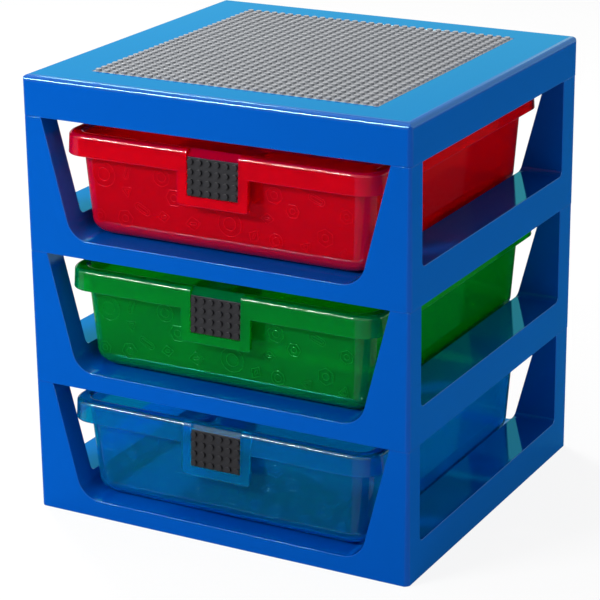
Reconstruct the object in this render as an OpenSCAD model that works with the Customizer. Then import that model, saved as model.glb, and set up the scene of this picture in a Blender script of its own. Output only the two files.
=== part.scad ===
// Three-drawer storage rack with toy brick studs.
// A moulded cover with a stud baseplate tops three stacked trough-shaped tiers,
// and each tier carries one drawer with a small stud plate as its handle.
// X runs to the right, -Y to the front and Z up. The origin is the centre of
// the footprint, on the floor. All sizes are in millimetres.

/* [Rack] */
// Width of each moulding at its lower edge
rack_w = 346; // [336:1:360]
// Depth of each moulding at its lower edge
rack_d = 325; // [318:1:345]
// Height of one tier, from seam to seam
tier_h = 113.8; // [110:0.2:125]
// Height of the cover
cover_h = 33.6; // [28:0.2:45]
// Thickness of the moulded walls
wall = 2.8; // [2:0.1:3.4]
// Radius of the upright corners
corner_r = 5; // [4:0.5:9]
// Lean of the outer walls, in degrees from upright
draft_angle = 0.355; // [0.1:0.005:1]

/* [Trough] */
// Width of the trough at the seam
trough_w = 311.4; // [306:0.2:314]
// Lean of the trough walls, in degrees from upright
trough_angle = 14.4; // [10:0.1:16]
// Radius between the trough walls and its floor
trough_r = 20.5; // [14:0.5:26]
// Height of the bar below the trough floor
bar_h = 14.9; // [12:0.1:18]

/* [Side windows] */
// Height of the sill under each window
sill_h = 31; // [26:0.5:36]
// Depth of a front corner post on the side face
front_post_d = 21.5; // [18:0.5:26]
// Depth of a rear corner post on the side face
rear_post_d = 27.5; // [20:0.5:32]
// Radius of the lower window corners
window_r = 4.5; // [3:0.5:10]

/* [Ribs and spigots] */
// Thickness of the ribs
rib_t = 2; // [1.4:0.1:2.6]
// Distance between the ribs under a floor
rib_pitch = 54; // [40:1:70]
// How far the ribs stop above the lower edge
rib_lift = 8; // [1:0.5:9]
// Height of the spigot on each post
spigot_h = 8; // [5:0.5:12]
// Ledge around a spigot, on the sides toward the trough and the window
spigot_ledge = 1.2; // [0.8:0.1:2]
// Gap between a spigot and the pocket it enters
spigot_gap = 0.3; // [0.2:0.05:0.5]

/* [Cover] */
// Radius along the top edges
top_edge_r = 5; // [3:0.5:8]
// Depth of the recess for the baseplate
recess_depth = 1.5; // [1:0.1:2.2]
// Depth of the stiffening ribs below the top
cover_rib_h = 5.5; // [4:0.5:16]
// How far the baseplate lies behind the middle of the cover
baseplate_back = 1; // [0:0.5:3]

/* [Studs] */
// Distance between neighbouring studs
stud_pitch = 8; // [7.9:0.05:8]
// Diameter of a stud
stud_d = 4.9; // [4.7:0.05:5]
// Height of a stud
stud_h = 1.8; // [1.6:0.1:2]
// Thickness of the stud plates
plate_t = 1.3; // [1:0.1:1.8]
// Gap around a stud plate in its recess
plate_gap = 0.2; // [0.1:0.05:0.4]
// Studs along each side of the baseplate
base_studs = 32; // [24:1:33]

/* [Drawer] */
// Gap between a drawer and the trough floor
drawer_gap = 0.35; // [0.3:0.05:0.6]
// Gap between the skirt and the trough wall
skirt_gap = 5.6; // [3:0.2:8]
// How far the skirt lies behind the front of the rack
front_inset = 4.5; // [3:0.5:8]
// How far the skirt lies inside the rear of the rack
rear_inset = 1.5; // [1:0.5:4]
// Height of a drawer
drawer_h = 87; // [82:0.5:92]
// Thickness of the drawer walls
drawer_wall = 2; // [1.6:0.1:2.4]
// Lean of the drawer walls, in degrees from upright
drawer_draft = 2.9; // [1.5:0.1:4]
// Radius of the upright corners of a drawer
drawer_r = 14; // [12:0.5:18]
// How far the skirt stands out from the drawer wall
skirt_out = 10.9; // [9:0.1:13]
// Height of the skirt
skirt_h = 17.8; // [14:0.2:20]
// Flare of the skirt and the handle, in degrees from upright
skirt_flare = 3; // [1:0.5:5]
// Radius of the skirt in its upright corners
skirt_r = 21; // [18:0.5:24]
// Radius along the top of the rim
rim_r = 3.5; // [2.5:0.1:4]
// How far the blue drawer stands open
blue_open = 4.5; // [0:0.5:20]

/* [Handle] */
// Width of the handle
handle_w = 63.2; // [56:0.2:72]
// Height of the lower edge of the handle above the drawer's base
handle_low = 42.4; // [36:0.2:46]
// Height of the middle of the stud plate above the drawer's base
handle_mid = 66; // [65:0.2:67]
// Thickness of the handle
handle_t = 3.8; // [3.2:0.1:4.6]
// Depth of the stud plate's face below the handle's face
plate_sink = 1; // [0.4:0.1:1.4]
// Studs across the handle
handle_cols = 6; // [4:1:6]
// Studs up the handle
handle_rows = 4; // [3:1:4]
// Plate left beyond the outer stud centres, at each side
plate_side = 3; // [2.6:0.1:4]
// Plate left beyond the outer stud centres, above and below
plate_end = 3.6; // [2.6:0.1:4]

/* [Hidden] */

// Colours of the mouldings
frame_blue = [0.0, 0.38, 0.78];
baseplate_grey = [0.42, 0.45, 0.47];
plate_grey = [0.25, 0.26, 0.28];
drawer_red = [0.76, 0.0, 0.10, 0.85];
drawer_green = [0.0, 0.48, 0.19, 0.85];
drawer_blue = [0.0, 0.42, 0.72, 0.85];

// Straight pieces in a quarter turn of each rounded edge
arc_steps = 6;
trough_steps = 8;
// A little extra where one shape cuts through another
over = 1;
// Extra width of the outline that only rounds the upright corners
corner_over = 0.5;

draft_slope = tan(draft_angle);
trough_slope = tan(trough_angle);
// Half the trough's width, and half its flat floor
trough_top_half = trough_w / 2;
trough_floor_half = trough_top_half - trough_slope * (tier_h - bar_h);
trough_flat_half = trough_floor_half - trough_r * tan(45 - trough_angle / 2);
window_front = front_post_d - rack_d / 2;
window_rear = rack_d / 2 - rear_post_d;

// Spigot faces: toward the trough and the window, then toward the outer walls
spigot_x0 = trough_top_half + spigot_ledge;
spigot_front_y0 = spigot_ledge - window_front;
spigot_rear_y0 = spigot_ledge + window_rear;
spigot_x1 = rack_w / 2 - wall - spigot_gap;
spigot_y1 = rack_d / 2 - wall - spigot_gap;
spigot_r = 2;

baseplate_w = base_studs * stud_pitch;
baseplate_z = 3 * tier_h + cover_h - recess_depth;

// Drawer outline at the foot of the skirt, and its middle in depth
skirt_z = drawer_h - skirt_h;
drawer_z = bar_h + drawer_gap;
skirt_half_w = trough_top_half - trough_slope * (tier_h - drawer_z - skirt_z) - skirt_gap;
skirt_half_d = (rack_d - front_inset - rear_inset) / 2;
drawer_y = (front_inset - rear_inset) / 2;
body_half_w = skirt_half_w - skirt_out;
body_half_d = skirt_half_d - skirt_out;
drawer_slope = tan(drawer_draft);
flare_slope = tan(skirt_flare);
// The bottom edge follows the trough's own rounding
bottom_r = body_half_w - drawer_slope * skirt_z - trough_flat_half;

handle_plate_w = (handle_cols - 1) * stud_pitch + 2 * plate_side;
handle_plate_h = (handle_rows - 1) * stud_pitch + 2 * plate_end;
handle_recess = plate_sink + plate_t;

// Points along an arc, from angle a0 to angle a1
function arc(x, y, r, a0, a1, steps) =
    [for (i = [0:steps]) let (a = a0 + (a1 - a0) * i / steps) [x + r * cos(a), y + r * sin(a)]];

// Outline of a rectangle with rounded corners, given by its half sizes
function rounded_rect(hx, hy, r, steps = arc_steps) = concat(
    arc(hx - r, hy - r, r, 0, 90, steps),
    arc(r - hx, hy - r, r, 90, 180, steps),
    arc(r - hx, r - hy, r, 180, 270, steps),
    arc(hx - r, r - hy, r, 270, 360, steps));

// Upright outline of a moulding: leaning sides and, on the cover, rounded top edges
function block_outline(half, h, top_r) =
    let (top = half - draft_slope * h)
    top_r > 0
    ? concat([[-half, 0], [half, 0]],
             arc(top - top_r, h - top_r, top_r, 0, 90, arc_steps),
             arc(top_r - top, h - top_r, top_r, 90, 180, arc_steps))
    : [[-half, 0], [half, 0], [top, h], [-top, h]];

// Cross-section of the trough, grown outward by the given amount
function trough_outline(grow) =
    let (z0 = bar_h - grow,
         z1 = tier_h + over,
         side = grow / cos(trough_angle),
         top = trough_top_half + trough_slope * over + side,
         r = trough_r + grow)
    concat([[-top, z1]],
           arc(-trough_flat_half, z0 + r, r, 180 + trough_angle, 270, trough_steps),
           arc(trough_flat_half, z0 + r, r, 270, 360 - trough_angle, trough_steps),
           [[top, z1]]);

// Cross-section of the side windows, grown outward by the given amount
function window_outline(grow) =
    let (front = window_front - grow,
         rear = window_rear + grow,
         z0 = sill_h - grow,
         z1 = tier_h + over,
         r = window_r + grow)
    concat([[front, z1]],
           arc(front + r, z0 + r, r, 180, 270, arc_steps),
           arc(rear - r, z0 + r, r, 270, 360, arc_steps),
           [[rear, z1]]);

// Carries an outline drawn in X and Z along the whole depth
module along_depth(length = 2 * rack_d) {
    rotate([90, 0, 0]) linear_extrude(length, center = true) children();
}

// Carries an outline drawn in Y and Z along the whole width
module along_width(length = 2 * rack_w) {
    rotate([90, 0, 90]) linear_extrude(length, center = true) children();
}

// Outer form of a moulding, drawn in by a wall thickness when it is a core
module block(h, inset = 0, top_r = 0) {
    r = max(corner_r - inset, 1) + corner_over / (1 - sqrt(0.5));
    intersection() {
        along_depth() polygon(block_outline(rack_w / 2 - inset, h, top_r));
        along_width() polygon(block_outline(rack_d / 2 - inset, h, top_r));
        translate([0, 0, -over]) linear_extrude(h + 2 * over)
            polygon(rounded_rect(rack_w / 2 - inset + corner_over,
                                 rack_d / 2 - inset + corner_over, r));
    }
}

// One copy of the children in each of the four corners. They read in $y0 how
// far that corner's spigot starts from the middle.
module four_corners() {
    for (mx = [0, 1]) {
        for (my = [0, 1]) {
            $y0 = my == 0 ? spigot_rear_y0 : spigot_front_y0;
            mirror([mx, 0, 0]) mirror([0, my, 0]) children();
        }
    }
}

// Grid of ribs between two heights, kept to the given half widths
module rib_grid(half_w, half_d, z0, z1) {
    across = floor(half_w / rib_pitch);
    along = floor(half_d / rib_pitch);
    for (i = [-across:across]) {
        translate([i * rib_pitch - rib_t / 2, -half_d, z0]) cube([rib_t, 2 * half_d, z1 - z0]);
    }
    for (j = [-along:along]) {
        translate([-half_w, j * rib_pitch - rib_t / 2, z0]) cube([2 * half_w, rib_t, z1 - z0]);
    }
}

// Two ribs that meet in a corner and run to the outer walls
module corner_ribs(x, y, h) {
    translate([x, y, 0]) cube([rib_t, rack_d / 2 - y, h]);
    translate([x, y, 0]) cube([rack_w / 2 - x, rib_t, h]);
}

// Ribs that close a pocket in each corner, for the spigots of the tier below
module spigot_pockets(h) {
    four_corners()
        corner_ribs(spigot_x0 - spigot_gap - rib_t, $y0 - spigot_gap - rib_t, h);
}

// Upright box with rounded corners between two corner points in plan
module rounded_post(x0, y0, x1, y1, r, h) {
    translate([(x0 + x1) / 2, (y0 + y1) / 2, 0])
        linear_extrude(h) polygon(rounded_rect((x1 - x0) / 2, (y1 - y0) / 2, r));
}

// Hollow below a tier: under the floor and sills, and up inside the posts
module tier_core() {
    difference() {
        block(tier_h - wall, inset = wall);
        along_depth() polygon(trough_outline(wall));
        along_width() polygon(window_outline(wall));
        rib_grid(trough_flat_half, rack_d / 2, rib_lift, sill_h);
        spigot_pockets(sill_h);
    }
}

// One tier: a moulded shell with a trough, side windows and hollow corner posts
module tier(level) {
    color(frame_blue) translate([0, 0, level * tier_h]) {
        difference() {
            union() {
                difference() {
                    block(tier_h);
                    along_depth() polygon(trough_outline(0));
                    along_width() polygon(window_outline(0));
                }
                four_corners() translate([0, 0, tier_h - wall])
                    rounded_post(spigot_x0, $y0, spigot_x1, spigot_y1,
                                 spigot_r, spigot_h + wall);
            }
            tier_core();
            four_corners() translate([0, 0, tier_h - wall - over])
                rounded_post(spigot_x0 + wall, $y0 + wall, spigot_x1 - wall,
                             spigot_y1 - wall, spigot_r / 2, spigot_h + over);
        }
    }
}

// Cover: a shallow shell with a recess on top for the stud baseplate
module top_cover() {
    recess_half = baseplate_w / 2 + plate_gap;
    color(frame_blue) translate([0, 0, 3 * tier_h]) difference() {
        block(cover_h, top_r = top_edge_r);
        translate([-recess_half, baseplate_back - recess_half, cover_h - recess_depth])
            cube([2 * recess_half, 2 * recess_half, recess_depth + over]);
        difference() {
            block(cover_h - wall, inset = wall, top_r = max(top_edge_r - wall, 1));
            translate([-recess_half - wall, baseplate_back - recess_half - wall,
                       cover_h - recess_depth - wall])
                cube([2 * (recess_half + wall), 2 * (recess_half + wall), cover_h]);
            rib_grid(rack_w / 2, rack_d / 2, cover_h - wall - cover_rib_h, cover_h);
            spigot_pockets(cover_h);
        }
    }
}

// Stud plate lying flat: columns along X, rows along Y, studs pointing up
module stud_plate(cols, rows, w, d) {
    translate([-w / 2, -d / 2, 0]) cube([w, d, plate_t]);
    translate([0, 0, plate_t]) linear_extrude(stud_h) {
        for (i = [0:cols - 1]) {
            for (j = [0:rows - 1]) {
                translate([(i - (cols - 1) / 2) * stud_pitch, (j - (rows - 1) / 2) * stud_pitch])
                    circle(d = stud_d, $fn = 24);
            }
        }
    }
}

module stud_baseplate() {
    color(baseplate_grey) translate([0, baseplate_back, baseplate_z])
        stud_plate(base_studs, base_studs, baseplate_w, baseplate_w);
}

// Closed skin through a list of level outlines. Each ring holds how far it
// stands out from the drawer's wall, its height and its corner radius.
module ring_shell(rings) {
    n = 4 * (arc_steps + 1);
    last = len(rings) - 1;
    points = [for (ring = rings)
              for (p = rounded_rect(body_half_w + ring[0], body_half_d + ring[0], ring[2]))
              [p[0], p[1], ring[1]]];
    sides = [for (i = [0:last - 1]) for (j = [0:n - 1])
             let (a = i * n + j, b = i * n + (j + 1) % n)
             each [[a, a + n, b + n], [a, b + n, b]]];
    polyhedron(points, concat(
        [[for (j = [0:n - 1]) j]],
        sides,
        [[for (j = [n - 1:-1:0]) last * n + j]]));
}

// Distance of the skirt's outer face from the drawer's wall, at a height
function skirt_at(z) = skirt_out + (skirt_z - z) * flare_slope;

// Section through the rim, from the foot of the skirt over the top to the inside
function rim_section() =
    let (z = drawer_h - rim_r, edge = skirt_at(z))
    concat([[skirt_out, skirt_z]],
           arc(edge - rim_r, z, rim_r, 0, 90, arc_steps));

// Corner radius of a ring: the body's own, or blended into the skirt's
function ring_r(out) = drawer_r + (skirt_r - drawer_r) * max(out, 0) / skirt_out;

// Section of the whole drawer: up the outside, round the skirt and down inside
function drawer_section() =
    let (foot = -drawer_slope * skirt_z,
         turn = 90 - drawer_draft,
         flange_z = drawer_h - drawer_wall,
         neck = drawer_slope * (flange_z - skirt_z),
         inner_edge = neck - drawer_wall,
         floor_r = bottom_r - drawer_wall)
    concat(
        arc(foot - bottom_r, bottom_r, bottom_r, -90, -90 + turn, arc_steps),
        [[neck, flange_z],
         [skirt_at(flange_z) - drawer_wall, flange_z],
         [skirt_out - drawer_wall, skirt_z]],
        rim_section(),
        arc(inner_edge + rim_r, drawer_h - rim_r, rim_r, 90, 180, arc_steps),
        arc(foot - bottom_r, bottom_r, floor_r, -90 + turn, -90, arc_steps));

// Handle: a panel in the plane of the skirt, with finger room behind it
module handle() {
    back = skirt_at(handle_low) - handle_t;
    section = concat(
        [[skirt_at(handle_low), handle_low]],
        [for (p = rim_section()) if (p[1] > skirt_z) p],
        [[rim_r, drawer_h], [rim_r, drawer_h - drawer_wall],
         [skirt_at(skirt_z) - handle_t, skirt_z + handle_t],
         [back, handle_low]]);
    translate([-handle_w / 2, 0, 0]) rotate([90, 0, 90]) linear_extrude(handle_w)
        polygon([for (p = section) [-body_half_d - p[0], p[1]]]);
}

// Places its children in the plane of the handle: X across, Y up, Z outward
module on_handle(depth = 0) {
    translate([0, -body_half_d - skirt_at(handle_mid), handle_mid])
        rotate([90 - skirt_flare, 0, 0]) translate([0, 0, -depth]) children();
}

// Section of the cut in a handle: the stud plate's recess, and over it a flat
// bevel from the plate's face up to the inside of the rim
function recess_section(h) =
    let (top = h / 2, rise = 3 * rim_r)
    [[-top, 0], [top, 0], [top, plate_t], [top + rise, plate_t - rise],
     [top + rise, handle_t + rise], [-top, handle_t + rise]];

// One drawer: body, overhanging skirt and handle with its recess
module drawer(level, open, tint) {
    recess_w = handle_plate_w + 2 * plate_gap;
    recess_h = handle_plate_h + 2 * plate_gap;
    color(tint) translate([0, drawer_y - open, level * tier_h + drawer_z]) difference() {
        union() {
            ring_shell([for (p = drawer_section()) [p[0], p[1], ring_r(p[0])]]);
            handle();
        }
        on_handle(handle_recess) along_width(recess_w) polygon(recess_section(recess_h));
    }
}

// Stud plate set into a handle
module handle_plate(level, open) {
    color(plate_grey) translate([0, drawer_y - open, level * tier_h + drawer_z])
        on_handle(handle_recess)
        stud_plate(handle_cols, handle_rows, handle_plate_w, handle_plate_h);
}

top_cover();
stud_baseplate();
tier(2);  // upper_tier
tier(1);  // middle_tier
tier(0);  // lower_tier
drawer(2, 0, drawer_red);  // red_drawer
handle_plate(2, 0);  // red_handle_plate
drawer(1, 0, drawer_green);  // green_drawer
handle_plate(1, 0);  // green_handle_plate
drawer(0, blue_open, drawer_blue);  // blue_drawer
handle_plate(0, blue_open);  // blue_handle_plate
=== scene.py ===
import math
import random

import bmesh
import bpy
from mathutils import Matrix, Vector
from mathutils.bvhtree import BVHTree


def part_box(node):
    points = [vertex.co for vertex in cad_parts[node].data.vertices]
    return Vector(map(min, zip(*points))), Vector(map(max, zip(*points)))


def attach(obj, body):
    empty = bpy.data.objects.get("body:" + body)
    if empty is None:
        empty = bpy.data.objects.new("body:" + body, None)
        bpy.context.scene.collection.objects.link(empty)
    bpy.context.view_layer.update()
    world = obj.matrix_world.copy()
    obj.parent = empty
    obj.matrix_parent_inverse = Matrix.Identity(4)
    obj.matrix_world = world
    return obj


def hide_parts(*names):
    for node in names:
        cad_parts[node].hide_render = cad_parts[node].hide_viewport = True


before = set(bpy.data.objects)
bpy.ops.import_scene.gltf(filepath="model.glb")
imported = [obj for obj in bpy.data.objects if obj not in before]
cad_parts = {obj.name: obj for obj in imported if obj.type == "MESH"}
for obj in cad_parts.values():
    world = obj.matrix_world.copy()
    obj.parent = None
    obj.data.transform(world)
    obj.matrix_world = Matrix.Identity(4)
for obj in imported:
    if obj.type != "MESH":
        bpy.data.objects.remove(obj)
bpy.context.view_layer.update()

scene = bpy.context.scene
mm = 0.001


# ---------------------------------------------------------------- camera
# The photograph looks down on the rack's front right corner with a long lens.
# The camera stands where lines of the rack run as they do in the photograph,
# and carries no shift, so that every other view stays centred.
camera_place = Vector((0.8801, -1.6388, 0.8104))
camera_azimuth = math.radians(28.485)
camera_elevation = math.radians(19.239)
camera_roll = math.radians(-0.51)

forward = -Vector((math.sin(camera_azimuth) * math.cos(camera_elevation),
                   -math.cos(camera_azimuth) * math.cos(camera_elevation),
                   math.sin(camera_elevation)))
level_right = forward.cross(Vector((0, 0, 1))).normalized()
level_up = level_right.cross(forward)
camera_right = math.cos(camera_roll) * level_right + math.sin(camera_roll) * level_up
camera_up = -math.sin(camera_roll) * level_right + math.cos(camera_roll) * level_up

camera = bpy.data.objects.new("camera", bpy.data.cameras.new("camera"))
camera.data.lens = 138.64
camera.data.sensor_width = 36.0
camera.matrix_world = Matrix((
    (camera_right.x, camera_up.x, -forward.x, camera_place.x),
    (camera_right.y, camera_up.y, -forward.y, camera_place.y),
    (camera_right.z, camera_up.z, -forward.z, camera_place.z),
    (0, 0, 0, 1)))
scene.collection.objects.link(camera)
scene.camera = camera
scene.view_settings.view_transform = "Standard"


# ---------------------------------------------------------------- studio
# A pale sweep in even light and under four soft lamps, as in a packshot studio.
# The camera sees it almost white, with a faint shadow. Mirror images in the
# gloss see the floor dimmer, so that upright faces keep their deep colour.
floor_half = 6.0
floor_drop = 0.2 * mm
floor_paleness = 0.9
floor_seen_white = 0.88
floor_dimming = 0.8
even_light = 0.3


def new_material(name):
    """Material with its nodes, links and Principled shader."""
    material = bpy.data.materials.new(name)
    material.use_nodes = True
    nodes = material.node_tree.nodes
    return material, nodes, material.node_tree.links, nodes["Principled BSDF"]


def maths(nodes, links, operation, *values):
    """Output of a math node that works on sockets and plain numbers."""
    node = nodes.new("ShaderNodeMath")
    node.operation = operation
    for socket, value in zip(node.inputs, values):
        if isinstance(value, (int, float)):
            socket.default_value = value
        else:
            links.new(value, socket)
    return node.outputs[0]


def seen_share(nodes, links, share):
    """The share for rays of the camera, of mirror images and through clear plastic."""
    path = nodes.new("ShaderNodeLightPath").outputs
    seen = maths(nodes, links, "MAXIMUM", path["Is Camera Ray"], path["Is Glossy Ray"])
    seen = maths(nodes, links, "MAXIMUM", seen, path["Is Transmission Ray"])
    return maths(nodes, links, "MULTIPLY", seen, share)


floor_mesh = bpy.data.meshes.new("studio_floor")
floor_mesh.from_pydata([(-floor_half, -floor_half, 0), (floor_half, -floor_half, 0),
                        (floor_half, floor_half, 0), (-floor_half, floor_half, 0)],
                       [], [(0, 1, 2, 3)])
floor = bpy.data.objects.new("studio_floor", floor_mesh)
floor.location.z = -floor_drop
scene.collection.objects.link(floor)

floor_material, nodes, links, shader = new_material("studio_floor")
shader.inputs["Base Color"].default_value = (floor_paleness,) * 3 + (1,)
shader.inputs["Roughness"].default_value = 0.7
shader.inputs["Specular IOR Level"].default_value = 0.2
sweep = nodes.new("ShaderNodeEmission")
mirrored = nodes.new("ShaderNodeLightPath").outputs["Is Glossy Ray"]
links.new(maths(nodes, links, "MULTIPLY_ADD", mirrored, -floor_dimming, 1.0),
          sweep.inputs["Strength"])
blend = nodes.new("ShaderNodeMixShader")
links.new(seen_share(nodes, links, floor_seen_white), blend.inputs["Fac"])
links.new(shader.outputs[0], blend.inputs[1])
links.new(sweep.outputs[0], blend.inputs[2])
links.new(blend.outputs[0], nodes["Material Output"].inputs["Surface"])
floor_mesh.materials.append(floor_material)

world = bpy.data.worlds.new("studio_world")
world.use_nodes = True
scene.world = world
nodes, links = world.node_tree.nodes, world.node_tree.links
fill = nodes["Background"]
fill.inputs["Color"].default_value = (1, 1, 1, 1)
fill.inputs["Strength"].default_value = even_light
white = nodes.new("ShaderNodeBackground")
white.inputs["Color"].default_value = (1, 1, 1, 1)
blend = nodes.new("ShaderNodeMixShader")
links.new(seen_share(nodes, links, 1.0), blend.inputs["Fac"])
links.new(fill.outputs[0], blend.inputs[1])
links.new(white.outputs[0], blend.inputs[2])
links.new(blend.outputs[0], nodes["World Output"].inputs["Surface"])


def softbox(name, place, aim, size, watts):
    """Rectangular soft lamp, aimed at a point."""
    lamp = bpy.data.lights.new(name, "AREA")
    lamp.shape = "RECTANGLE"
    lamp.size, lamp.size_y = size
    lamp.energy = watts
    holder = bpy.data.objects.new(name, lamp)
    holder.location = place
    holder.rotation_mode = "QUATERNION"
    holder.rotation_quaternion = (Vector(aim) - Vector(place)).to_track_quat("-Z", "Y")
    scene.collection.objects.link(holder)


# The first two are long from left to right and aimed straight to the rear or the
# front, so that each draws one unbroken bright line along a rounded front edge.
softbox("front_softbox", place=(-0.92, -1.55, 1.2), aim=(-0.92, 0, 0.3),
        size=(0.85, 0.12), watts=40)
softbox("rear_softbox", place=(-1.13, 0.85, 2.1), aim=(-1.13, 0, 0.2),
        size=(1.0, 0.25), watts=44)
softbox("ceiling_softbox", place=(-0.5, -0.4, 2.7), aim=(0, 0, 0.2),
        size=(2.2, 2.2), watts=16)
softbox("side_softbox", place=(2.1, -0.1, 0.55), aim=(0, 0, 0.2),
        size=(1.2, 0.8), watts=13)


# ---------------------------------------------------------------- tiers and cover
# Injection mouldings in glossy blue ABS: three tiers and a cover, which plug into
# each other. The mould leaves every outer edge slightly rounded, and its polished
# steel leaves a clear gloss with a faint flow of colour.
edge_radius = 0.5 * mm
sharp_angle = math.radians(35)
# Faces leaning further than this from every axis get the painted edge highlight.
rounded_from = math.radians(6)
dye_in_flats = 0.92
dye_layer_ior = 1.02
peel_strength = 0.05
peel_depth = 0.05 * mm


def moulded_skin():
    """Node group: flow of colour, haze in the gloss, fine unevenness, and how far
    the dye shows in mirror images. It shows less at the rounded edges. That is a
    painted highlight: there the colour and its mirror images read lighter."""
    group = bpy.data.node_groups.new("moulded_skin", "ShaderNodeTree")
    face = group.interface
    face.new_socket("Colour", in_out="INPUT", socket_type="NodeSocketColor")
    for name in ("Flow", "Gloss", "Haze", "Peel", "Painted Highlight"):
        face.new_socket(name, in_out="INPUT", socket_type="NodeSocketFloat")
    face.new_socket("Colour", in_out="OUTPUT", socket_type="NodeSocketColor")
    for name in ("Roughness", "Height", "Dye and Highlight"):
        face.new_socket(name, in_out="OUTPUT", socket_type="NodeSocketFloat")
    nodes, links = group.nodes, group.links
    entry = nodes.new("NodeGroupInput").outputs
    leave = nodes.new("NodeGroupOutput").inputs
    place = nodes.new("ShaderNodeTexCoord").outputs["Object"]

    def noise(scale, detail):
        texture = nodes.new("ShaderNodeTexNoise")
        texture.inputs["Scale"].default_value = scale
        texture.inputs["Detail"].default_value = detail
        links.new(place, texture.inputs["Vector"])
        return texture.outputs["Fac"]

    shade = nodes.new("ShaderNodeMix")
    shade.data_type = "RGBA"
    shade.blend_type = "MULTIPLY"
    flow = maths(nodes, links, "MULTIPLY", noise(scale=7.0, detail=3.0), entry["Flow"])
    links.new(flow, shade.inputs["Factor"])
    links.new(entry["Colour"], shade.inputs["A"])
    shade.inputs["B"].default_value = (0.0, 0.0, 0.0, 1)
    links.new(shade.outputs["Result"], leave["Colour"])

    smear = maths(nodes, links, "SUBTRACT", noise(scale=22.0, detail=4.0), 0.5)
    smear = maths(nodes, links, "MULTIPLY", smear, entry["Haze"])
    links.new(maths(nodes, links, "ADD", entry["Gloss"], smear), leave["Roughness"])

    peel = maths(nodes, links, "MULTIPLY", noise(scale=260.0, detail=2.0), entry["Peel"])
    links.new(peel, leave["Height"])

    # Painted highlight: the dye thins on the rounded faces, so they read lighter.
    edge = nodes.new("ShaderNodeAttribute")
    edge.attribute_name = "rounded_edge"
    edge_highlight = maths(nodes, links, "MULTIPLY", edge.outputs["Fac"], entry["Painted Highlight"])
    links.new(maths(nodes, links, "SUBTRACT", dye_in_flats, edge_highlight), leave["Dye and Highlight"])
    return group


skin_group = moulded_skin()


def plastic(name, colour, ior, flow, gloss, haze, peel, dye=None, painted_highlight=0.0):
    """Moulded plastic with its skin group in place. A dye, where there is one,
    tints the mirror images in the flat faces. A painted highlight thins the dye
    on the rounded edges, so that they and their mirror images read lighter."""
    material, nodes, links, shader = new_material(name)
    shader.inputs["IOR"].default_value = ior
    skin = nodes.new("ShaderNodeGroup")
    skin.node_tree = skin_group
    skin.inputs["Colour"].default_value = (*colour, 1)
    skin.inputs["Flow"].default_value = flow
    skin.inputs["Gloss"].default_value = gloss
    skin.inputs["Haze"].default_value = haze
    skin.inputs["Peel"].default_value = peel
    skin.inputs["Painted Highlight"].default_value = painted_highlight
    bump = nodes.new("ShaderNodeBump")
    bump.inputs["Strength"].default_value = peel_strength
    bump.inputs["Distance"].default_value = peel_depth
    links.new(skin.outputs["Colour"], shader.inputs["Base Color"])
    links.new(skin.outputs["Roughness"], shader.inputs["Roughness"])
    links.new(skin.outputs["Height"], bump.inputs["Height"])
    links.new(bump.outputs["Normal"], shader.inputs["Normal"])
    if dye:
        shader.inputs["Coat IOR"].default_value = dye_layer_ior
        shader.inputs["Coat Tint"].default_value = (*dye, 1)
        # The coat carries the painted edge highlight: less dye on the rounded faces.
        links.new(skin.outputs["Dye and Highlight"], shader.inputs["Coat Weight"])
    return material


def mark_rounded(mesh):
    """Marks the faces that lean away from all three axes: roundings and bevels,
    where the skin paints a highlight.
    """
    marks = mesh.attributes.new("rounded_edge", "FLOAT", "FACE")
    flat = math.cos(rounded_from)
    for face, mark in zip(mesh.polygons, marks.data):
        mark.value = 0.0 if max(abs(part) for part in face.normal) > flat else 1.0


def add_piece(name, mesh, body, node, material):
    """Shows a mesh that rides on a body, in place of a node where one is named."""
    mark_rounded(mesh)
    mesh.materials.clear()
    mesh.materials.append(material)
    mesh.shade_smooth()
    mesh.set_sharp_from_angle(angle=sharp_angle)
    piece = bpy.data.objects.new(name, mesh)
    scene.collection.objects.link(piece)
    weighted = piece.modifiers.new("even_normals", "WEIGHTED_NORMAL")
    weighted.keep_sharp = True
    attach(piece, body)
    if node:
        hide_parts(node)


def is_open(tree, point):
    """True where a ray sideways or upward from the point meets nothing."""
    rays = ((1, 0, 0), (-1, 0, 0), (0, 1, 0), (0, -1, 0), (0, 0, 1))
    return any(tree.ray_cast(point, Vector(ray))[0] is None for ray in rays)


def softened(node):
    """Mesh of a moulding whose outer edges are rounded, as the mould leaves them."""
    just_outside = 0.3 * mm
    form = bmesh.new()
    form.from_mesh(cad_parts[node].data)
    bmesh.ops.remove_doubles(form, verts=form.verts, dist=0.001 * mm)
    bmesh.ops.dissolve_limit(form, angle_limit=math.radians(0.3),
                             verts=form.verts, edges=form.edges)
    form.normal_update()
    tree = BVHTree.FromBMesh(form)
    outer = []
    for edge in form.edges:
        if len(edge.link_faces) != 2 or edge.calc_face_angle_signed() < sharp_angle:
            continue
        outward = (edge.link_faces[0].normal + edge.link_faces[1].normal).normalized()
        middle = (edge.verts[0].co + edge.verts[1].co) / 2
        if is_open(tree, middle + outward * just_outside):
            outer.append(edge)
    bmesh.ops.bevel(form, geom=outer, offset=edge_radius, offset_type="OFFSET",
                    segments=3, profile=0.5, affect="EDGES", clamp_overlap=False)
    bmesh.ops.remove_doubles(form, verts=form.verts, dist=0.002 * mm)
    mesh = bpy.data.meshes.new(node + "_form")
    form.to_mesh(mesh)
    form.free()
    return mesh


# painted_highlight paints the rounded edges lighter, with whiter mirror images.
frame_blue = plastic("frame_blue", colour=(0.0, 0.066, 0.375), ior=1.5, flow=0.08,
                     gloss=0.06, haze=0.02, peel=0.3, dye=(0.02, 0.97, 1.0), painted_highlight=0.4)

for node in ("upper_tier", "middle_tier", "lower_tier", "top_cover"):
    add_piece(node + "_moulding", softened(node), "rack", node,
              frame_blue)


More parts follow.
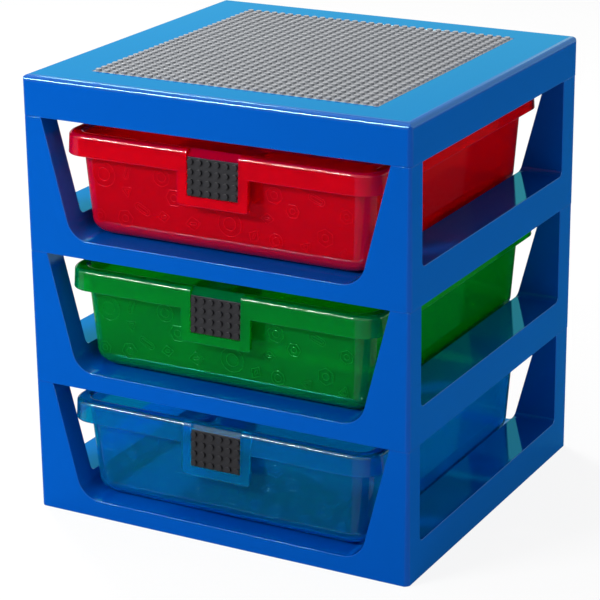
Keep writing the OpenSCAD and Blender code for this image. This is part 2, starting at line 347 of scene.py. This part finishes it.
# ---------------------------------------------------------------- baseplate
# A thin plate of mid grey ABS, glued into the recess of the cover. It carries
# a square field of small round studs on an 8 mm grid, with softened rims.
baseplate_studs = 32
stud_pitch = 8 * mm
stud_radius = 2.45 * mm
stud_height = 1.8 * mm
stud_root = 0.2 * mm
stud_rim = 0.3 * mm
stud_rim_middle = 0.09 * mm
plate_thickness = 1.3 * mm
plate_edge = 0.25 * mm


def stud_plate(name, columns, rows, width, depth, sides, turn):
    """Plate lying flat with its studs up, turned into place by a matrix."""
    form = bmesh.new()
    bmesh.ops.create_cube(form, size=1.0)
    for vert in form.verts:
        vert.co = Vector((vert.co.x * width, vert.co.y * depth,
                          (vert.co.z + 0.5) * plate_thickness))
    upper = [e for e in form.edges if all(v.co.z > plate_thickness / 2 for v in e.verts)]
    bmesh.ops.bevel(form, geom=upper, offset=plate_edge, offset_type="OFFSET",
                    segments=2, profile=0.5, affect="EDGES")
    top = plate_thickness + stud_height
    profile = ((stud_radius, plate_thickness - stud_root),
               (stud_radius, top - stud_rim),
               (stud_radius - stud_rim_middle, top - stud_rim_middle),
               (stud_radius - stud_rim, top))
    circle = [(math.cos(2 * math.pi * k / sides), math.sin(2 * math.pi * k / sides))
              for k in range(sides)]
    for i in range(columns):
        for j in range(rows):
            x = (i - (columns - 1) / 2) * stud_pitch
            y = (j - (rows - 1) / 2) * stud_pitch
            rings = [[form.verts.new((x + r * c, y + r * s, z)) for c, s in circle]
                     for r, z in profile]
            for low, high in zip(rings, rings[1:]):
                for k in range(sides):
                    n = (k + 1) % sides
                    form.faces.new((low[k], low[n], high[n], high[k]))
            form.faces.new(rings[-1])
            form.faces.new(rings[0][::-1])
    form.transform(turn)
    mesh = bpy.data.meshes.new(name)
    form.to_mesh(mesh)
    form.free()
    return mesh


baseplate_grey = plastic("baseplate_grey", colour=(0.25, 0.262, 0.28), ior=1.45,
                         flow=0.10, gloss=0.32, haze=0.08, peel=0.6)
low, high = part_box("stud_baseplate")
baseplate_centre = Vector(((low.x + high.x) / 2, (low.y + high.y) / 2, low.z))
add_piece("baseplate",
          stud_plate("baseplate", baseplate_studs, baseplate_studs, high.x - low.x,
                     high.y - low.y, sides=16, turn=Matrix.Translation(baseplate_centre)),
          "rack", "stud_baseplate", baseplate_grey)


# ---------------------------------------------------------------- drawers
# Three drawers from one mould in tinted, translucent plastic, which slide on the
# floors of the tiers. A thin wall leans outward to a rim that turns over into a
# skirt, and at the middle of the front the skirt runs on downward as the handle.
drawer_height = 87 * mm
wall = 2.0 * mm
wall_lean = 2.9
wall_slope = math.tan(math.radians(wall_lean))
skirt_foot = 69.2 * mm
skirt_out = 10.9 * mm
skirt_lean = 3.0
skirt_slope = math.tan(math.radians(skirt_lean))
skirt_half_depth = 159.5 * mm
corner_radius = 14 * mm
skirt_corner_radius = 21 * mm
rim_radius = 3.5 * mm
bottom_radius = 13.75 * mm
lip_radius = 0.6 * mm
handle_half = 31.6 * mm
handle_foot = 42.4 * mm
handle_thickness = 3.8 * mm
handle_corner = 2.0 * mm
handle_blend = 0.15 * mm
plate_middle = 66 * mm
plate_sink = 1.0 * mm
plate_width = 46 * mm
plate_height = 31.2 * mm
plate_gap = 0.2 * mm
corner_steps = 14
rim_steps = 10
lip_steps = 3
glow_depth = 6 * mm

low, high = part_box("red_drawer")
half_width = high.x - skirt_out
half_depth = skirt_half_depth - skirt_out


def arc(x, z, radius, start, end, steps):
    """Points of an arc in the section, between two angles in degrees."""
    angles = [math.radians(start + (end - start) * k / steps) for k in range(steps + 1)]
    return [(x + radius * math.cos(a), z + radius * math.sin(a)) for a in angles]


def skirt_at(z):
    """How far the skirt's face stands out from the drawer wall at a height."""
    return skirt_out + (skirt_foot - z) * skirt_slope


def drawer_section(skirt_wall, gusset):
    """Section from under the floor, up the outside, over the rim and down inside.
    Points are (distance out from the wall, height). Returns them with the
    first and last index of the skirt's lower lip."""
    foot = -wall_slope * skirt_foot
    bend = 90 - wall_lean
    flange = drawer_height - wall
    neck = wall_slope * (flange - skirt_foot)
    top = drawer_height - rim_radius
    points = arc(foot - bottom_radius, bottom_radius, bottom_radius,
                 -90, -90 + bend, rim_steps)
    if gusset:
        points += [(neck, flange), (rim_radius, flange),
                   (skirt_at(skirt_foot) - skirt_wall, skirt_foot + handle_thickness)]
    else:
        points += [(neck, flange), (neck + 1 * mm, flange),
                   (skirt_at(flange) - skirt_wall, flange)]
    first = len(points)
    points += arc(skirt_out - skirt_wall + lip_radius, skirt_foot + lip_radius,
                  lip_radius, 180, 270, lip_steps)
    points += arc(skirt_out - lip_radius, skirt_foot + lip_radius,
                  lip_radius, -90, 0, lip_steps)
    last = len(points) - 1
    points += arc(skirt_at(top) - rim_radius, top, rim_radius, 0, 90, rim_steps)
    points += arc(neck - wall + rim_radius, top, rim_radius, 90, 180, rim_steps)
    points += arc(foot - bottom_radius, bottom_radius, bottom_radius - wall,
                  -90 + bend, -90, rim_steps)
    return points, first, last


def outline(out, front_columns):
    """Ring of a rounded rectangle that stands out from the wall by a distance."""
    hx, hy = half_width + out, half_depth + out
    r = corner_radius + (skirt_corner_radius - corner_radius) * max(out, 0) / skirt_out
    ring = []
    for cx, cy, start in ((hx - r, hy - r, 0), (r - hx, hy - r, 90), (r - hx, r - hy, 180)):
        ring += arc(cx, cy, r, start, start + 90, corner_steps)
    ring += [(x, -hy) for x in front_columns]
    ring += arc(hx - r, r - hy, r, 270, 360, corner_steps)
    return ring


def drawer_form():
    """Whole drawer as one closed skin, centred in depth, standing on Z = 0."""
    plain, first, last = drawer_section(wall, gusset=False)
    thick, _, _ = drawer_section(handle_thickness, gusset=True)
    corner = [handle_half - handle_corner * (1 - math.sin(math.radians(a)))
              for a in (0, 30, 60, 90)]
    half_front = [0.0, handle_half - 2 * handle_corner] + corner
    columns = [-x for x in reversed(half_front[1:])] + half_front
    columns = [columns[0] - handle_blend] + columns + [columns[-1] + handle_blend]
    before_front = 3 * (corner_steps + 1)
    handle_columns = range(before_front + 1, before_front + len(columns) - 1)

    form = bmesh.new()
    grid = []
    for k, (out, z) in enumerate(plain):
        ring = []
        for c, (x, y) in enumerate(outline(out, columns)):
            if c in handle_columns:
                y = -half_depth - thick[k][0]
                ring.append(form.verts.new((x, y, thick[k][1])))
            else:
                ring.append(form.verts.new((x, y, z)))
        grid.append(ring)
    count = len(grid[0])

    # Lower lip of the handle: the skirt's lip carried down in the skirt's plane
    lip = {}
    for k in range(first, last + 1):
        for c in handle_columns:
            vert = grid[k][c]
            past = max(abs(vert.co.x) - (handle_half - handle_corner), 0)
            rise = handle_corner - math.sqrt(max(handle_corner ** 2 - past ** 2, 0))
            drop = skirt_foot - handle_foot - rise
            lip[k, c] = form.verts.new(vert.co + Vector((0, -drop * skirt_slope, -drop)))

    for k in range(len(grid) - 1):
        for c in range(count):
            n = (c + 1) % count
            inside = c in handle_columns and n in handle_columns
            if first <= k < last and inside:
                corners = (lip[k, c], lip[k, n], lip[k + 1, n], lip[k + 1, c])
            else:
                corners = (grid[k][c], grid[k][n], grid[k + 1][n], grid[k + 1][c])
            form.faces.new(corners)
    for c in list(handle_columns)[:-1]:
        form.faces.new((grid[first][c], grid[first][c + 1],
                        lip[first, c + 1], lip[first, c]))
        form.faces.new((lip[last, c], lip[last, c + 1],
                        grid[last][c + 1], grid[last][c]))
    for c in (handle_columns[0], handle_columns[-1]):
        ring = [grid[k][c] for k in range(first, last + 1)]
        ring += [lip[k, c] for k in range(last, first - 1, -1)]
        form.faces.new(ring)
    form.faces.new(grid[0][::-1])
    form.faces.new(grid[-1])
    bmesh.ops.recalc_face_normals(form, faces=form.faces)
    mesh = bpy.data.meshes.new("drawer_form")
    form.to_mesh(mesh)
    form.free()
    return mesh


# Plane of the handle's face: X across, Y up along the face, Z outward
handle_plane = (Matrix.Translation((0, -half_depth - skirt_at(plate_middle), plate_middle))
                @ Matrix.Rotation(math.radians(90 - skirt_lean), 4, "X"))


def handle_cut():
    """Recess for the stud plate, with a flat bevel above it up past the rim."""
    floor_depth = -(plate_sink + plate_thickness)
    half_w = plate_width / 2 + plate_gap
    half_h = plate_height / 2 + plate_gap
    rise = 3 * rim_radius
    section = [(-half_h, floor_depth), (half_h, floor_depth), (half_h, -plate_sink),
               (half_h + rise, -plate_sink - rise), (half_h + rise, rise), (-half_h, rise)]
    form = bmesh.new()
    sides = [[form.verts.new((x, y, z)) for y, z in section] for x in (-half_w, half_w)]
    count = len(section)
    for k in range(count):
        n = (k + 1) % count
        form.faces.new((sides[0][k], sides[0][n], sides[1][n], sides[1][k]))
    form.faces.new(sides[0])
    form.faces.new(sides[1][::-1])
    form.transform(handle_plane)
    bmesh.ops.recalc_face_normals(form, faces=form.faces)
    mesh = bpy.data.meshes.new("handle_cut")
    form.to_mesh(mesh)
    form.free()
    return mesh


def cut(mesh, tool_mesh):
    """Mesh left when the tool is cut away."""
    body = bpy.data.objects.new("cut_body", mesh)
    tool = bpy.data.objects.new("cut_tool", tool_mesh)
    for thing in (body, tool):
        scene.collection.objects.link(thing)
    modifier = body.modifiers.new("cut", "BOOLEAN")
    modifier.operation = "DIFFERENCE"
    modifier.solver = "EXACT"
    modifier.object = tool
    shown = body.evaluated_get(bpy.context.evaluated_depsgraph_get())
    result = bpy.data.meshes.new_from_object(shown)
    for thing in (body, tool):
        bpy.data.objects.remove(thing)
    return result


def drawer_place(node):
    """Matrix that moves the drawer form to where the frame has a drawer."""
    low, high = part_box(node)
    return Matrix.Translation((0, high.y - skirt_half_depth, low.z))


def moved(mesh, place):
    """Copy of a mesh, moved by a matrix."""
    copy = mesh.copy()
    copy.transform(place)
    return copy


# Colour name, body, colour, tint of its mirror images, share of light let through
drawer_kinds = (
    ("red", "top_drawer", (0.94, 0.0, 0.07), (1.0, 0.05, 0.2), 0.66),
    ("green", "middle_drawer", (0.0, 0.53, 0.17), (0.05, 1.0, 0.4), 0.82),
    ("blue", "bottom_drawer", (0.0, 0.50, 0.98), (0.05, 1.0, 1.0), 0.92))

drawer_mesh = cut(drawer_form(), handle_cut())
for colour_name, body, colour, dye, clarity in drawer_kinds:
    # painted_highlight paints the rims, corners and handle bevel lighter, with whiter
    # mirror images.
    tinted = plastic(colour_name + "_translucent", colour, ior=1.5, flow=0.10,
                     gloss=0.07, haze=0.03, peel=0.4, dye=dye, painted_highlight=0.7)
    shader = tinted.node_tree.nodes["Principled BSDF"]
    shader.inputs["Transmission Weight"].default_value = clarity
    shader.inputs["Subsurface Weight"].default_value = 1.0
    shader.inputs["Subsurface Radius"].default_value = (1.0, 1.0, 1.0)
    shader.inputs["Subsurface Scale"].default_value = glow_depth
    node = colour_name + "_drawer"
    add_piece(node + "_moulding", moved(drawer_mesh, drawer_place(node)), body, node,
              tinted)


# ---------------------------------------------------------------- raised pattern
# The mould's front face is engraved with fine outlines, which leave raised lines on
# the drawer fronts: plain rings, pills, triangles, hexagons and squares. They are
# of one piece with the drawer, and a little less clear than its wall.
line_width = 0.7 * mm
line_height = 0.15 * mm
line_root = 0.02 * mm
line_milkiness = 0.03
motif_kinds = ("ring", "pill", "triangle", "hexagon", "square")
motif_sizes = (12, 15, 18, 21)
motif_gap = 3 * mm
motif_tries = 900
pattern_reach = 114
pattern_band = (14, 62)
pattern_foot = 10 * mm
pattern_top = 66 * mm
handle_clearance = 2 * mm


def polygon_loop(corners, radius, rounding, stretch=1.0):
    """Regular polygon with rounded corners, stretched along X."""
    loop = []
    for k in range(corners):
        middle = 2 * math.pi * k / corners
        half_turn = math.pi / corners
        cx = (radius - rounding / math.cos(half_turn)) * math.cos(middle)
        cy = (radius - rounding / math.cos(half_turn)) * math.sin(middle)
        for s in range(5):
            a = middle + half_turn * (s / 2 - 1)
            loop.append((cx + rounding * math.cos(a), cy + rounding * math.sin(a)))
    return [(x * stretch, y) for x, y in loop]


def circle_loop(radius):
    """Circle of 24 points."""
    return [(radius * math.cos(math.pi * k / 12), radius * math.sin(math.pi * k / 12))
            for k in range(24)]


def pill_loop(length, radius):
    """Bar with two round ends."""
    ends = arc(length / 2 - radius, 0, radius, -90, 90, 8)
    return ends + [(-x, -y) for x, y in ends]


def motif(kind, size):
    """Outlines of one motif that fits into a circle of the given diameter."""
    if kind == "ring":
        return [circle_loop(size * 0.5), circle_loop(size * 0.26)]
    if kind == "pill":
        return [pill_loop(size, size * 0.2), pill_loop(size * 0.74, size * 0.09)]
    if kind == "triangle":
        return [polygon_loop(3, size * 0.5, size * 0.07),
                polygon_loop(3, size * 0.24, size * 0.03)]
    if kind == "hexagon":
        return [polygon_loop(6, size * 0.5, size * 0.06), circle_loop(size * 0.2)]
    return [polygon_loop(4, size * 0.4, size * 0.06, stretch=1.25),
            pill_loop(size * 0.4, size * 0.08)]


def raised_line(form, loop, to_wall):
    """Closed raised line along a loop, set on the wall by a function."""
    profile = ((-0.5, -line_root), (-0.3, line_height * 0.7), (0, line_height),
               (0.3, line_height * 0.7), (0.5, -line_root))
    count = len(loop)
    rings = []
    for k, (x, y) in enumerate(loop):
        before, after = Vector(loop[k - 1]), Vector(loop[(k + 1) % count])
        along = (after - before).normalized()
        side = Vector((along.y, -along.x))
        rings.append([form.verts.new(to_wall(x + side.x * line_width * a,
                                             y + side.y * line_width * a, h))
                      for a, h in profile])
    for k in range(count):
        here, ahead = rings[k], rings[(k + 1) % count]
        for p in range(len(profile)):
            q = (p + 1) % len(profile)
            form.faces.new((here[p], here[q], ahead[q], ahead[p]))


def front_wall(x, z, height):
    """Point on the drawer's front, a little out from its face."""
    y = -half_depth - wall_slope * (z - skirt_foot) - height
    return (x, y, z)


def pattern_mesh():
    """Raised outlines scattered over the front, clear of the handle."""
    draw = random.Random(41)
    form = bmesh.new()
    placed = []
    for _ in range(motif_tries):
        size = draw.choice(motif_sizes) * mm
        x = draw.uniform(-pattern_reach, pattern_reach) * mm
        z = draw.uniform(*pattern_band) * mm
        turn = draw.uniform(0, 2 * math.pi)
        kind = motif_kinds[draw.randrange(len(motif_kinds))]
        half = size / 2
        near_handle = (abs(x) < handle_half + half
                       and z > handle_foot - half - handle_clearance)
        off_front = z - half < pattern_foot or z + half > pattern_top
        too_close = any(math.hypot(x - a, z - b) < (size + c) / 2 + motif_gap
                        for a, b, c in placed)
        if near_handle or off_front or too_close:
            continue
        placed.append((x, z, size))
        for loop in motif(kind, size):
            turned = [(x + a * math.cos(turn) - b * math.sin(turn),
                       z + a * math.sin(turn) + b * math.cos(turn)) for a, b in loop]
            raised_line(form, turned, front_wall)
    bmesh.ops.recalc_face_normals(form, faces=form.faces)
    mesh = bpy.data.meshes.new("pattern")
    form.to_mesh(mesh)
    form.free()
    return mesh


pattern = pattern_mesh()
for colour_name, body, colour, dye, clarity in drawer_kinds:
    # painted_highlight lightens the leaning flanks of the lines a little.
    raised = plastic(colour_name + "_raised_line", colour, ior=1.5, flow=0.10,
                     gloss=0.16, haze=0.04, peel=0.4, dye=dye, painted_highlight=0.05)
    shader = raised.node_tree.nodes["Principled BSDF"]
    shader.inputs["Transmission Weight"].default_value = clarity - line_milkiness
    node = colour_name + "_drawer"
    add_piece(node + "_raised_pattern", moved(pattern, drawer_place(node)), body, None,
              raised)


# ---------------------------------------------------------------- handle plates
# Small plates of dark grey ABS, glued into the recess of each handle. Six by
# four studs of the same size as on the baseplate point forward.
plate_columns, plate_rows = 6, 4
plate_turn = handle_plane @ Matrix.Translation((0, 0, -plate_sink - plate_thickness))

plate_grey = plastic("handle_plate_grey", colour=(0.013, 0.013, 0.016), ior=1.45,
                     flow=0.12, gloss=0.35, haze=0.08, peel=0.8)
for colour_name, body, *_ in drawer_kinds:
    node = colour_name + "_handle_plate"
    add_piece(node + "_studs",
              stud_plate(node, plate_columns, plate_rows, plate_width, plate_height,
                         sides=24, turn=drawer_place(colour_name + "_drawer") @ plate_turn),
              body, node, plate_grey)
